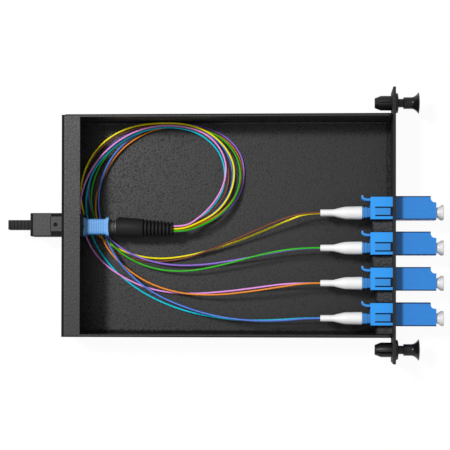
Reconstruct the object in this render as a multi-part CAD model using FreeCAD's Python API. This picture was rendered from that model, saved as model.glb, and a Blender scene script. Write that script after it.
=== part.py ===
import FreeCAD, Part
import math
import os

# Fibre cassette: a folded steel tray that clips into a rack frame by its front panel. One multi-fibre
# connector plugs in through the rear wall, and its eight fibres run round a slack loop on the floor to
# eight single-fibre connectors behind the four duplex adapters of the front panel.
# Millimetres. The origin is the centre of the floor's underside, +X runs towards the front panel,
# +Z is up, and +Y is the side of the first adapter.

# Tray, one folded sheet
SHEET = 1.2
FOLD_RADIUS = 0.8            # inside radius of each fold
TRAY_LENGTH = 157.8          # rear wall's outer face to the panel's front face
TRAY_WIDTH = 105.3
REAR_HEIGHT = 28.0
SIDE_HEIGHT = 27.9
FLANGE_DEPTH = 9.0
PANEL_EAR = 12.35             # panel beyond the tray at each end
PANEL_HEIGHT = 29.0
PANEL_CORNER = 1.0
RELIEF = 0.3                 # slit beside each fold's end
SIDE_FRONT_GAP = 0.6         # side wall's end to the panel
SIDE_CORNER = 1.6
FLANGE_CHAMFER = (2.4, 0.85)

# Panel fasteners: a slit grommet and the plunger that spreads it
RIVET_EDGE = 6.25            # from the panel's end
RIVET_HOLE_PLAY = 0.1        # radial
GROMMET_RADIUS = 3.5
GROMMET_LEGS = 9.5           # from the panel's front face
GROMMET_TAPER = 2.9
GROMMET_TIP_RADIUS = 2.4
GROMMET_HEAD_RADIUS = 4.9
GROMMET_HEAD_TOP_RADIUS = 4.6
GROMMET_RIM = 1.5             # the head's height at its rim and at its middle
GROMMET_HEAD = 1.9
GROMMET_SLIT = 0.8
GROMMET_SLIT_ROOT = 1.5      # solid collar, from the panel's front face to the slits' ends
GROMMET_TURN = {"upper": 0.0, "lower": 22.0}
PIN_RADIUS = 2.05
PIN_PLAY = 0.08              # radial, in the grommet
PLUNGER_PULL = 2.2           # how far the knob stands off the grommet's head
KNOB_RADIUS = 2.8
KNOB_NECK = 4.1
KNOB_FLARE = [(1.2, 3.25), (2.2, 4.1), (3.15, 5.1)]      # past the neck, and radius
KNOB_DOME = [(0.45, 3.2), (0.65, 1.2)]                   # past the flare, and radius

# Duplex adapters
ADAPTER_EDGE = 10.9          # last adapter's middle to the tray's outer side
ADAPTER_PITCH = 16.75
ADAPTER_Z = 14.5
ADAPTER_LENGTH = 30.9
ADAPTER_OUTSIDE = 19.3       # from the panel's front face to the outer mouth
OUTER_WIDTH = 11.2
OUTER_HEIGHT = 13.0
INNER_WIDTH = 10.5
INNER_HEIGHT = 12.5
CUTOUT_PLAY = 0.1
PORT_PITCH = 6.25
PORT_OFFSET = -2.05          # port axis from the middle of the adapter
PORT_SIZE = 4.64
PORT_DEPTH = 11.0
LATCH_SLOT_TOP = 6.9         # from the port axis
LATCH_SLOT_WIDTH = 3.3
KEY_CUT = (2.6, 3.0)
KEY_CUT_RADIUS = 2.0
EDGE_BEVEL = 0.4
TAB_OFFSET = 0.4             # snap tab's middle from the port axis
TAB_WIDTH = 3.4
TAB_START = 2.2              # from the inner mouth
TAB_SLOT = 0.5
TAB_SLOT_DEPTH = 0.45
SLEEVE_LENGTH = 6.8
SLEEVE_RADIUS = 0.81
FERRULE_RADIUS = 0.625

# Dust plugs
PLUG_PLAY = 0.05
PLUG_SHANK = 9.8
PLUG_NECK_RADIUS = 2.35
PLUG_NECK = 1.2
PLUG_NECK_END_RADIUS = 2.5
PLUG_OUTSIDE = 3.6
PLUG_RIM_RADIUS = 3.1
PLUG_RIM_STRETCH = 0.5       # how far the round rim's halves are drawn apart along Y
PLUG_RIM = 0.9
PLUG_DISH_RADIUS = 2.3
PLUG_DISH = 0.9

# Single-fibre connectors
CONNECTOR_SIZE = 4.5
CONNECTOR_TAIL = 3.8         # from the adapter's inner mouth to the boot
CONNECTOR_GRIP = (2.1, 4.9)    # length and width of the wider part before the boot
LATCH_THICKNESS = 0.8
LATCH_WIDTH = 2.8
LATCH_ROOT = (3.4, 2.0)      # under and over side, from the nose
LATCH_BEND = (5.6, 2.45)     # from the nose, and above the body
LATCH_RISE = 2.75            # above the body at the adapter's mouth
LATCH_KNEE = (3.1, 3.55)     # outside the mouth, and above the body
LATCH_TIP = (4.4, 5.95)
CONNECTOR_END_PLAY = 0.1     # nose to the port's floor
FERRULE_SHORT = 0.05         # ferrule tip from the adapter's middle
BOOT_LENGTH = 19.9
BOOT_RADIUS = 2.9
BOOT_END_RADIUS = 1.55
BOOT_NOSE = 6.0
BOOT_CONE = 6.2

# Multi-fibre adapter and its dust cap
MPO_Y = -0.2
MPO_Z = 14.5
MPO_OUTSIDE = 14.6           # from the rear wall's outer face
MPO_INSIDE = 9.1             # from the rear wall's outer face
MPO_WIDTH = 11.1
MPO_HEIGHT = 13.0
MPO_BODY_SHIFT = 0.9         # the body's middle from the plug's axis, along Y
MPO_INNER_WIDTH = 10.4
MPO_INNER_HEIGHT = 12.5
MPO_CAVITY = (6.9, 10.1)
MPO_CAVITY_DEPTH = 11.0
MPO_WINDOW = (2.7, 6.7)
MPO_RECESS = 5.9
MPO_RECESS_DEPTH = 0.6
MPO_PAD_WIDTH = 7.0
MPO_PAD_SHIFT = 0.35         # the pad's middle from the body's middle
MPO_PAD_HOLE = 3.8           # from the rear wall's outer face
MPO_PAD_HOLE_RADIUS = 1.0
MPO_PAD_HOLE_DEPTH = 0.5
CAP_PLAY = 0.08
CAP_PLUG = 8.5
CAP_RIM = 1.3
CAP_HANDLE = (11.2, 4.6, 8.0)
CAP_RIBS = 6
CAP_RIB_PITCH = 1.7
CAP_RIB_WIDTH = 0.8
CAP_RIB_HEIGHT = 0.35

# Multi-fibre connector
COUPLING_LENGTH = 12.5
COUPLING_SIZE = (7.6, 11.6)
COUPLING_FLARE = (0.7, 0.3)
COUPLING_FLARE_LENGTH = 1.2
COUPLING_RIM_LENGTH = 1.6
COUPLING_HOLLOW = 0.45       # depth of the hollow in its back edge
COUPLING_SLOPE = 1.6         # how far its back edge runs forward from top to bottom
COUPLING_NOTCH_RADIUS = 0.65
COUPLING_FRONT_GAP = 0.25
COUPLING_BACK_DEPTH = 4.5
COUPLING_BACK_SIZE = (6.8, 10.2)
COUPLING_RIBS = 7
COUPLING_RIB_PITCH = 1.2
COUPLING_RIB_HEIGHT = 0.12
COUPLING_RIB_WIDTH = 0.55
HOUSING_SIZE = (6.5, 9.7)
HOUSING_PLAY = 0.08
HOUSING_BORE = (3.6, 7.6)
MPO_FERRULE_SIZE = (2.5, 6.4)
MPO_FERRULE_LENGTH = 8.0
MPO_FLANGE_SIZE = (3.4, 7.4)
MPO_FLANGE_LENGTH = 1.2
GUIDE_PIN_RADIUS = 0.35
GUIDE_PIN_SPACING = 4.6
GUIDE_PIN_OUT = 2.0
CLAMP_LENGTH = 1.5
SPRING_WIRE = 0.5
SPRING_TURNS = 5
SPRING_CORNERS = 8           # straight lengths in each turn
SPRING_RADIUS = 1.35
COLLAR_LENGTH = 3.0
COLLAR_RADIUS = 3.3
COLLAR_END_RADIUS = 2.9
COLLAR_PEG = 3.6             # how far the collar's peg reaches into the housing
RING_LENGTH = 0.6
RING_RADIUS = 3.6
MPO_BOOT_LENGTH = 27.0
MPO_BOOT_PLAIN = 12.9
MPO_BOOT_RADIUS = 4.85
MPO_BOOT_PLAIN_END_RADIUS = 4.4
MPO_BOOT_LIP = (0.6, 4.2)    # length and radius of the step at its front
MPO_BOOT_RIB_RADIUS = 4.25
MPO_BOOT_TIP_RADIUS = 3.45
MPO_BOOT_RIBS = 8
MPO_BOOT_RIB_DEPTH = 0.8
MPO_BOOT_DROOP = 2.5         # degrees

# Glue that holds the adapters
GLUE_LENGTH = 9.3
GLUE_TOP = 16.0
GLUE_SLOPE = 1.6
GLUE_SHOULDER = 1.1

# Fibres
FIBRE_DIAMETER = 0.9
FIBRE_SIDES = 3              # a plain three-sided tube stands for the round one
ARC_SHARE = 0.45             # of the shorter run next to a corner, given up to round it
FIBRE_LEAD = 4.0             # straight length out of the multi-fibre boot

# Small round parts that come in numbers have flat sides, which keeps the whole light
ROUND_SIDES = 12
BOOT_SIDES = 16
KNOB_SIDES = 24
HIDDEN_SIDES = 6

PANEL_WIDTH = TRAY_WIDTH + 2 * PANEL_EAR
RIVET_SPACING = PANEL_WIDTH - 2 * RIVET_EDGE
ADAPTER_Y = [ADAPTER_EDGE - TRAY_WIDTH / 2 + ADAPTER_PITCH * step for step in (3, 2, 1, 0)]
FRONT_X = TRAY_LENGTH / 2
REAR_X = -TRAY_LENGTH / 2
PANEL_BACK = FRONT_X - SHEET
OUTER_MOUTH = FRONT_X + ADAPTER_OUTSIDE
INNER_MOUTH = OUTER_MOUTH - ADAPTER_LENGTH
ADAPTER_MIDDLE = OUTER_MOUTH - ADAPTER_LENGTH / 2
BOOT_FACE = INNER_MOUTH - CONNECTOR_TAIL
BOOT_END = BOOT_FACE - BOOT_LENGTH
MPO_OUTER_MOUTH = REAR_X - MPO_OUTSIDE
MPO_INNER_MOUTH = REAR_X + MPO_INSIDE
MPO_MIDDLE = (MPO_OUTER_MOUTH + MPO_INNER_MOUTH) / 2
COUPLING_X = MPO_INNER_MOUTH + COUPLING_FRONT_GAP
COLLAR_X = COUPLING_X + COUPLING_LENGTH
MPO_BOOT_X = COLLAR_X + COLLAR_LENGTH
MPO_BOOT_END = MPO_BOOT_X + MPO_BOOT_LENGTH
LEVELS = {"upper": PORT_PITCH / 2, "lower": -PORT_PITCH / 2}

V = FreeCAD.Vector
X_AXIS, Z_AXIS = V(1, 0, 0), V(0, 0, 1)


def around(middle, width):
    return (middle - width / 2, middle + width / 2)


def block(x, y, z):
    """Box between the given pairs of limits."""
    return Part.makeBox(x[1] - x[0], y[1] - y[0], z[1] - z[0], V(x[0], y[0], z[0]))


def rod(radius, x, y, z):
    """Cylinder along X."""
    return Part.makeCylinder(radius, x[1] - x[0], V(x[0], y, z), X_AXIS)


def faceted(outline, y, z, sides):
    """Solid turned about the line along X at y, z, with flat sides. The outline is a list of
    (x, radius) points. A third number draws the ring's halves apart along Y."""
    def spot(point, step):
        angle = math.radians(360 / sides * (step + 0.5))
        stretch = math.copysign(point[2], math.cos(angle)) if len(point) > 2 else 0
        return V(point[0], y + stretch + point[1] * math.cos(angle), z + point[1] * math.sin(angle))

    faces = []
    for a, b in zip(outline, outline[1:] + outline[:1]):
        if a[1] == 0 or b[1] == 0:
            rim = a if a[1] > 0 else b
            if rim[1] > 0:
                faces.append(flat_face([spot(rim, step) for step in range(sides)]))
            continue
        for step in range(sides):
            faces.append(flat_face([spot(a, step), spot(b, step), spot(b, step + 1), spot(a, step + 1)]))
    return outward(Part.makeSolid(Part.makeShell(faces)))


def flat_face(corners):
    return Part.Face(Part.makePolygon(corners + corners[:1]))


def hidden_rod(radius, x, y, z):
    """Flat-sided cylinder along X, for the small parts inside."""
    return faceted([(x[0], 0), (x[0], radius), (x[1], radius), (x[1], 0)], y, z, HIDDEN_SIDES)


def outward(solid):
    """The same solid with its faces pointing out."""
    if solid.Volume < 0:
        solid.reverse()
    return solid


def rounded(shape, radius, wanted):
    """Rounds the edges for which wanted(edge's middle, edge's direction) is true."""
    edges = []
    for edge in shape.Edges:
        span = edge.Vertexes[-1].Point - edge.Vertexes[0].Point
        if span.Length > 0 and wanted(edge.CenterOfMass, span.normalize()):
            edges.append(edge)
    return shape.makeFillet(radius, edges)


def prism(points, z):
    """Polygon of (x, y) points carried from z[0] to z[1]."""
    return flat_face([V(x, y, z[0]) for x, y in points]).extrude(V(0, 0, z[1] - z[0]))


def rounded_path(points, setbacks):
    """Straight runs joined by tangent arcs. Each arc starts its setback before the corner."""
    edges, radii, here = [], [], points[0]
    for before, corner, after, setback in zip(points, points[1:], points[2:], setbacks):
        into = (corner - before).normalize()
        onward = (after - corner).normalize()
        half_turn = into.getAngle(onward) / 2
        radius = setback / math.tan(half_turn)
        bulge = (onward - into).normalize() * (radius / math.cos(half_turn) - radius)
        start, end = corner - into * setback, corner + onward * setback
        edges.append(Part.LineSegment(here, start).toShape())
        edges.append(Part.Arc(start, corner + bulge, end).toShape())
        radii.append(radius)
        here = end
    edges.append(Part.LineSegment(here, points[-1]).toShape())
    return edges, radii


def folded_sheet(outer, inner, along):
    """Sheet between two outlines with the same right-angled corners, carried along a vector."""
    corners = len(outer) - 2
    outside, _ = rounded_path(outer, [FOLD_RADIUS + SHEET] * corners)
    inside, _ = rounded_path(inner, [FOLD_RADIUS] * corners)
    ends = [Part.LineSegment(outer[i], inner[i]).toShape() for i in (0, -1)]
    wire = Part.Wire(Part.__sortEdges__(outside + inside + ends))
    return outward(Part.Face(wire).extrude(along))


def joined(shapes):
    """One solid from shapes that touch."""
    return shapes[0].fuse(shapes[1:]).removeSplitter()


def adapter_cutout(y):
    return block((PANEL_BACK - 1, FRONT_X + 1), around(y, INNER_WIDTH + 2 * CUTOUT_PLAY),
                 around(ADAPTER_Z, INNER_HEIGHT + 2 * CUTOUT_PLAY))


def side_wall_notches(flange_x):
    """Room over the side walls for the flange, which lies across them."""
    top = REAR_HEIGHT - SHEET
    notches = []
    for side in (-1, 1):
        across = sorted((side * TRAY_WIDTH, side * (TRAY_WIDTH / 2 - SHEET - 1)))
        notches.append(block((REAR_X + SHEET, flange_x + RELIEF), across, (top - RELIEF, top)))
    return notches


def tray():
    fold = FOLD_RADIUS + SHEET
    half = TRAY_WIDTH / 2
    strip = half - fold - RELIEF
    flange_x = REAR_X + FLANGE_DEPTH

    def outline(corners, y):
        return [V(x, y, z) for x, z in corners]

    outer = [(flange_x, REAR_HEIGHT), (REAR_X, REAR_HEIGHT), (REAR_X, 0), (FRONT_X, 0),
             (FRONT_X, PANEL_HEIGHT)]
    inner = [(flange_x, REAR_HEIGHT - SHEET), (REAR_X + SHEET, REAR_HEIGHT - SHEET),
             (REAR_X + SHEET, SHEET), (PANEL_BACK, SHEET), (PANEL_BACK, PANEL_HEIGHT)]
    pieces = [folded_sheet(outline(outer, -strip), outline(inner, -strip), V(0, 2 * strip, 0))]

    rear_low = fold + RELIEF
    outer = [(flange_x, REAR_HEIGHT), (REAR_X, REAR_HEIGHT), (REAR_X, rear_low)]
    inner = [(flange_x, REAR_HEIGHT - SHEET), (REAR_X + SHEET, REAR_HEIGHT - SHEET),
             (REAR_X + SHEET, rear_low)]
    for side in (-1, 1):
        start = strip if side > 0 else -half
        pieces.append(folded_sheet(outline(outer, start), outline(inner, start), V(0, half - strip, 0)))
        ear = block((PANEL_BACK, FRONT_X), sorted((side * strip, side * PANEL_WIDTH / 2)), (0, PANEL_HEIGHT))
        pieces.append(rounded(ear, PANEL_CORNER,
                              lambda at, way: abs(way.x) > 0.9 and abs(at.y) > strip + 1))
        wall_x = (REAR_X + SHEET + RELIEF, PANEL_BACK - SIDE_FRONT_GAP)
        outer_y, inner_y = side * half, side * (half - SHEET)
        wall = folded_sheet([V(wall_x[0], side * strip, 0), V(wall_x[0], outer_y, 0),
                             V(wall_x[0], outer_y, SIDE_HEIGHT)],
                            [V(wall_x[0], side * strip, SHEET), V(wall_x[0], inner_y, SHEET),
                             V(wall_x[0], inner_y, SIDE_HEIGHT)],
                            V(wall_x[1] - wall_x[0], 0, 0))
        pieces.append(rounded(wall, SIDE_CORNER,
                              lambda at, way: abs(way.y) > 0.9 and at.z > SIDE_HEIGHT - 1
                              and at.x > wall_x[1] - 1))
    sheet = joined(pieces)

    along, across = FLANGE_CHAMFER
    corner = [(REAR_X, half), (REAR_X + along, half), (REAR_X, half - across)]
    cuts = [prism(corner, (REAR_HEIGHT - fold, REAR_HEIGHT + 1))]
    sheet = sheet.cut(side_wall_notches(flange_x))
    cuts += [adapter_cutout(y) for y in ADAPTER_Y]
    for side in (-1, 1):
        cuts.append(rod(GROMMET_RADIUS + RIVET_HOLE_PLAY, (PANEL_BACK - 1, FRONT_X + 1),
                        side * RIVET_SPACING / 2, ADAPTER_Z))
    hole = mpo_span((MPO_INNER_WIDTH, MPO_INNER_HEIGHT), CUTOUT_PLAY, MPO_BODY_SHIFT)
    cuts.append(block((REAR_X - 1, REAR_X + SHEET + 1), *hole))
    return sheet.cut(cuts)


def rivet_grommet(level):
    y = RIVET_SPACING / 2 * (1 if level == "upper" else -1)
    tip = FRONT_X - GROMMET_LEGS
    bore = PIN_RADIUS + PIN_PLAY
    body = faceted([(tip, bore), (tip, GROMMET_TIP_RADIUS), (tip + GROMMET_TAPER, GROMMET_RADIUS),
                    (FRONT_X, GROMMET_RADIUS), (FRONT_X, GROMMET_HEAD_RADIUS),
                    (FRONT_X + GROMMET_RIM, GROMMET_HEAD_TOP_RADIUS), (FRONT_X + GROMMET_HEAD, bore)],
                   y, ADAPTER_Z, KNOB_SIDES)
    reach = GROMMET_RADIUS + 1
    for wide, tall in ((reach * 2, GROMMET_SLIT), (GROMMET_SLIT, reach * 2)):
        slit = block((tip - 1, FRONT_X - GROMMET_SLIT_ROOT), around(y, wide), around(ADAPTER_Z, tall))
        slit.rotate(V(0, y, ADAPTER_Z), X_AXIS, GROMMET_TURN[level])
        body = body.cut(slit)
    return body


def rivet_plunger(level):
    y = RIVET_SPACING / 2 * (1 if level == "upper" else -1)
    knob = FRONT_X + GROMMET_HEAD + PLUNGER_PULL
    tip = FRONT_X - GROMMET_LEGS + PLUNGER_PULL
    flare = knob + KNOB_NECK
    outline = [(tip, 0), (tip, PIN_RADIUS), (knob, PIN_RADIUS), (knob, KNOB_RADIUS), (flare, KNOB_RADIUS)]
    outline += [(flare + past, radius) for past, radius in KNOB_FLARE]
    rim = outline[-1][0]
    outline += [(rim + past, radius) for past, radius in KNOB_DOME]
    return faceted(outline + [(outline[-1][0], 0)], y, ADAPTER_Z, KNOB_SIDES)


def port_cavities(y, x, wall_x):
    """The two ports of one mouth: a square hole with a latch channel over it, and the sleeve's bore."""
    holes = []
    axis = y + PORT_OFFSET
    for z in (ADAPTER_Z + LEVELS["upper"], ADAPTER_Z + LEVELS["lower"]):
        holes.append(block(x, around(axis, PORT_SIZE), around(z, PORT_SIZE)))
        holes.append(block(x, (axis, axis + LATCH_SLOT_TOP), around(z, LATCH_SLOT_WIDTH)))
        holes.append(hidden_rod(SLEEVE_RADIUS, wall_x, axis, z))
    return holes


def snap_tab_slots(y):
    """The grooves that free a snap tab in the top and in the bottom of the part behind the panel."""
    middle = y + PORT_OFFSET + TAB_OFFSET
    start, end = INNER_MOUTH + TAB_START, PANEL_BACK
    low, high = middle - TAB_WIDTH / 2, middle + TAB_WIDTH / 2
    groove = [(start, low - TAB_SLOT), (end, low - TAB_SLOT), (end, high + TAB_SLOT),
              (start, high + TAB_SLOT), (start, high), (end - TAB_SLOT, high),
              (end - TAB_SLOT, low), (start, low)]
    top = ADAPTER_Z + INNER_HEIGHT / 2
    bottom = ADAPTER_Z - INNER_HEIGHT / 2
    return [prism(groove, (top - TAB_SLOT_DEPTH, top + 1)),
            prism(groove, (bottom - 1, bottom + TAB_SLOT_DEPTH))]


def adapter_rear(y):
    behind = block((INNER_MOUTH, FRONT_X), around(y, INNER_WIDTH), around(ADAPTER_Z, INNER_HEIGHT))
    shoulder = block((FRONT_X, ADAPTER_MIDDLE), around(y, OUTER_WIDTH), around(ADAPTER_Z, OUTER_HEIGHT))
    cavity = (INNER_MOUTH - 1, INNER_MOUTH + PORT_DEPTH)
    holes = port_cavities(y, cavity, (cavity[1], ADAPTER_MIDDLE + 1))
    return joined([behind, shoulder]).cut(holes + snap_tab_slots(y))


def adapter_front(y):
    body = block((ADAPTER_MIDDLE, OUTER_MOUTH), around(y, OUTER_WIDTH), around(ADAPTER_Z, OUTER_HEIGHT))
    body = body.makeChamfer(EDGE_BEVEL, [edge for edge in body.Edges
                                         if abs(edge.Length - ADAPTER_LENGTH / 2) < 1e-6])
    along, across = KEY_CUT
    top = y + OUTER_WIDTH / 2
    tall = around(ADAPTER_Z, OUTER_HEIGHT + 2)
    cutter = block((OUTER_MOUTH - along, OUTER_MOUTH + 5), (top - across, top + 5), tall)
    cutter = rounded(cutter, KEY_CUT_RADIUS,
                     lambda at, way: abs(way.z) > 0.9 and at.x < OUTER_MOUTH and at.y < top)
    cavity = (OUTER_MOUTH - PORT_DEPTH, OUTER_MOUTH + 1)
    holes = port_cavities(y, cavity, (ADAPTER_MIDDLE - 1, cavity[0]))
    return body.cut(holes + [cutter])


def port_axis(number):
    return ADAPTER_Y[number] + PORT_OFFSET


def alignment_sleeves():
    """Ceramic sleeves, one in each port."""
    sleeves = []
    for number in range(len(ADAPTER_Y)):
        for lift in LEVELS.values():
            y, z = port_axis(number), ADAPTER_Z + lift
            span = around(ADAPTER_MIDDLE, SLEEVE_LENGTH)
            sleeves.append(faceted([(span[0], FERRULE_RADIUS), (span[0], SLEEVE_RADIUS),
                                    (span[1], SLEEVE_RADIUS), (span[1], FERRULE_RADIUS)], y, z, HIDDEN_SIDES))
    return Part.makeCompound(sleeves)


def lc_ferrules():
    """Ceramic ferrules, one on each single-fibre connector."""
    front = INNER_MOUTH + PORT_DEPTH - CONNECTOR_END_PLAY
    tip = ADAPTER_MIDDLE - FERRULE_SHORT
    ends = (front, tip)
    return Part.makeCompound([hidden_rod(FERRULE_RADIUS, ends, port_axis(number), ADAPTER_Z + lift)
                              for number in range(len(ADAPTER_Y)) for lift in LEVELS.values()])


def dust_plug(number, level):
    """Square shank with a flared, dished end."""
    y, z = port_axis(number), ADAPTER_Z + LEVELS[level]
    end = OUTER_MOUTH + PLUG_OUTSIDE
    size = PORT_SIZE - 2 * PLUG_PLAY
    shank = block((OUTER_MOUTH - PLUG_SHANK, OUTER_MOUTH), around(y, size), around(z, size))
    flare = faceted([(OUTER_MOUTH, 0), (OUTER_MOUTH, PLUG_NECK_RADIUS),
                     (OUTER_MOUTH + PLUG_NECK, PLUG_NECK_END_RADIUS),
                     (end - PLUG_RIM, PLUG_RIM_RADIUS, PLUG_RIM_STRETCH),
                     (end, PLUG_RIM_RADIUS, PLUG_RIM_STRETCH),
                     (end, PLUG_DISH_RADIUS), (end - PLUG_DISH, PLUG_DISH_RADIUS), (end - PLUG_DISH, 0)],
                    y, z, ROUND_SIDES)
    return joined([shank, flare])


def lc_connector(number, level):
    """Plug body with its latch, which springs from the nose and stands up behind the adapter."""
    y, z = port_axis(number), ADAPTER_Z + LEVELS[level]
    nose = INNER_MOUTH + PORT_DEPTH - CONNECTOR_END_PLAY
    body = block((BOOT_FACE, nose), around(y, CONNECTOR_SIZE), around(z, CONNECTOR_SIZE))
    length, width = CONNECTOR_GRIP
    grip = block((BOOT_FACE, BOOT_FACE + length), around(y, width), around(z, width))
    root = y + CONNECTOR_SIZE / 2
    mouth = INNER_MOUTH
    bend_x, bend_rise = nose - LATCH_BEND[0], LATCH_BEND[1]
    knee_x, knee_rise = mouth - LATCH_KNEE[0], LATCH_KNEE[1]
    tip_x, tip_rise = mouth - LATCH_TIP[0], LATCH_TIP[1]
    half = LATCH_THICKNESS / 2
    under = [(nose - LATCH_ROOT[0], 0), (bend_x, bend_rise), (mouth, LATCH_RISE), (knee_x, knee_rise),
             (tip_x, tip_rise)]
    over = [(tip_x + LATCH_THICKNESS, tip_rise + half), (knee_x + half, knee_rise + LATCH_THICKNESS),
            (mouth, LATCH_RISE + LATCH_THICKNESS), (bend_x, bend_rise + LATCH_THICKNESS),
            (nose - LATCH_ROOT[1], 0)]
    latch = prism([(x, root + rise) for x, rise in under + over], around(z, LATCH_WIDTH))
    return joined([body, grip, latch])


def lc_boot(number, level):
    cone = BOOT_END + BOOT_NOSE
    return faceted([(BOOT_END, 0), (BOOT_END, BOOT_END_RADIUS), (cone, BOOT_END_RADIUS),
                    (cone + BOOT_CONE, BOOT_RADIUS), (BOOT_FACE, BOOT_RADIUS), (BOOT_FACE, 0)],
                   port_axis(number), ADAPTER_Z + LEVELS[level], ROUND_SIDES)


def mpo_span(size, play=0.0, shift=0.0):
    """Limits in Y and Z of a section centred on the multi-fibre connector, or beside it by shift."""
    return around(MPO_Y + shift, size[0] + 2 * play), around(MPO_Z, size[1] + 2 * play)


def mpo_adapter():
    shift = MPO_BODY_SHIFT
    middle = MPO_Y + shift
    outside = block((MPO_OUTER_MOUTH, REAR_X), *mpo_span((MPO_WIDTH, MPO_HEIGHT), shift=shift))
    inside = block((REAR_X, MPO_INNER_MOUTH), *mpo_span((MPO_INNER_WIDTH, MPO_INNER_HEIGHT), shift=shift))
    top = MPO_Z + MPO_HEIGHT / 2
    recess_x = (REAR_X - MPO_RECESS, REAR_X)
    recess = block(recess_x, around(middle, MPO_WIDTH + 2), (top - MPO_RECESS_DEPTH, top + 1))
    pad = block(recess_x, around(middle + MPO_PAD_SHIFT, MPO_PAD_WIDTH), (top - 1, top + 1))
    spot = V(REAR_X - MPO_PAD_HOLE, middle, top - MPO_PAD_HOLE_DEPTH)
    hole = Part.makeCylinder(MPO_PAD_HOLE_RADIUS, 2, spot)
    window = block((MPO_OUTER_MOUTH, MPO_INNER_MOUTH), *mpo_span(MPO_WINDOW))
    outer_cavity = block((MPO_OUTER_MOUTH - 1, MPO_OUTER_MOUTH + MPO_CAVITY_DEPTH), *mpo_span(MPO_CAVITY))
    inner_cavity = block((MPO_INNER_MOUTH - MPO_CAVITY_DEPTH, MPO_INNER_MOUTH + 1), *mpo_span(MPO_CAVITY))
    return joined([outside, inside]).cut([recess.cut(pad), hole, window, outer_cavity, inner_cavity])


def mpo_dust_cap():
    """Plug, rim and a flat grip with cross ribs."""
    rim_x = MPO_OUTER_MOUTH - CAP_RIM
    length, width, height = CAP_HANDLE
    plug_size = (MPO_CAVITY[0] - 2 * CAP_PLAY, MPO_CAVITY[1] - 2 * CAP_PLAY)
    plug = block((MPO_OUTER_MOUTH, MPO_OUTER_MOUTH + CAP_PLUG), *mpo_span(plug_size))
    shift = MPO_BODY_SHIFT
    rim = block((rim_x, MPO_OUTER_MOUTH), *mpo_span((MPO_WIDTH, MPO_HEIGHT), shift=shift))
    grip = block((rim_x - length, rim_x), *mpo_span((width, height), shift=shift))
    ribs = []
    for step in range(CAP_RIBS):
        rib = around(rim_x - length + CAP_RIB_PITCH * (step + 0.5), CAP_RIB_WIDTH)
        ribs.append(block(rib, *mpo_span((width, height + 2 * CAP_RIB_HEIGHT), shift=shift)))
    return joined([plug, rim, grip] + ribs)


def mpo_coupling():
    """Sliding sleeve with a flared front, ribs across it and a stepped rim at the back, where it is
    wider inside so that it clears the collar. Its back edge is hollow and slopes."""
    x = (COUPLING_X, COUPLING_X + COUPLING_LENGTH)
    ribs_x = (x[0] + x[1]) / 2 - COUPLING_RIB_PITCH * (COUPLING_RIBS - 1) / 2
    wide, tall = COUPLING_SIZE
    flared = (wide + 2 * COUPLING_FLARE[0], tall + 2 * COUPLING_FLARE[1])
    front = [section_wire(x[0], flared), section_wire(x[0] + COUPLING_FLARE_LENGTH, COUPLING_SIZE)]
    pieces = [block(x, *mpo_span(COUPLING_SIZE)), outward(Part.makeLoft(front, True)),
              block((x[1] - COUPLING_RIM_LENGTH, x[1]), *mpo_span(flared))]
    for step in range(COUPLING_RIBS):
        rib = around(ribs_x + COUPLING_RIB_PITCH * step, COUPLING_RIB_WIDTH)
        pieces.append(block(rib, *mpo_span((wide, tall + 2 * COUPLING_RIB_HEIGHT))))
    hollow = block((x[0] - 1, x[1] + 1), *mpo_span(HOUSING_SIZE, HOUSING_PLAY))
    back = block((x[1] - COUPLING_BACK_DEPTH, x[1] + 1), *mpo_span(COUPLING_BACK_SIZE))

    low, high = mpo_span(flared)[1]
    slope = [V(x[1], MPO_Y - wide, high), V(x[1] - COUPLING_SLOPE, MPO_Y - wide, low),
             V(x[1] + 1, MPO_Y - wide, low - 1), V(x[1] + 1, MPO_Y - wide, high)]
    wedge = flat_face(slope).extrude(V(0, 2 * wide, 0))
    radius = (flared[0] ** 2 / 4 + COUPLING_HOLLOW ** 2) / (2 * COUPLING_HOLLOW)
    dish = Part.makeCylinder(radius, high - low + 2, V(x[1] - COUPLING_HOLLOW + radius, MPO_Y, low - 1))
    notch = Part.makeCylinder(COUPLING_NOTCH_RADIUS, high - low + 2, V(x[0], MPO_Y, low - 1))
    return joined(pieces).cut([hollow, back, wedge, dish, notch])


def section_wire(x, size):
    (y0, y1), (z0, z1) = mpo_span(size)
    corners = [V(x, y0, z0), V(x, y1, z0), V(x, y1, z1), V(x, y0, z1)]
    return Part.makePolygon(corners + corners[:1])


def ferrule_tip():
    return MPO_MIDDLE


def flange_back():
    return ferrule_tip() + MPO_FERRULE_LENGTH


def mpo_housing():
    """Plug body: an oblong tube that holds the ferrule, the spring and the collar's peg."""
    front = MPO_INNER_MOUTH - MPO_CAVITY_DEPTH
    lip = flange_back() - MPO_FLANGE_LENGTH
    body = block((front, COLLAR_X), *mpo_span(HOUSING_SIZE))
    nose = block((front - 1, lip), *mpo_span(MPO_FERRULE_SIZE, HOUSING_PLAY))
    bore = block((lip, COLLAR_X + 1), *mpo_span(HOUSING_BORE))
    return body.cut([nose, bore])


def mpo_ferrule():
    """Moulded ferrule with its rear flange and two guide holes."""
    back = flange_back()
    body = block((ferrule_tip(), back), *mpo_span(MPO_FERRULE_SIZE))
    flange = block((back - MPO_FLANGE_LENGTH, back), *mpo_span(MPO_FLANGE_SIZE))
    holes = [hidden_rod(GUIDE_PIN_RADIUS, (ferrule_tip() - 1, back + 1), MPO_Y, z)
             for z in around(MPO_Z, GUIDE_PIN_SPACING)]
    return joined([body, flange]).cut(holes)


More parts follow.
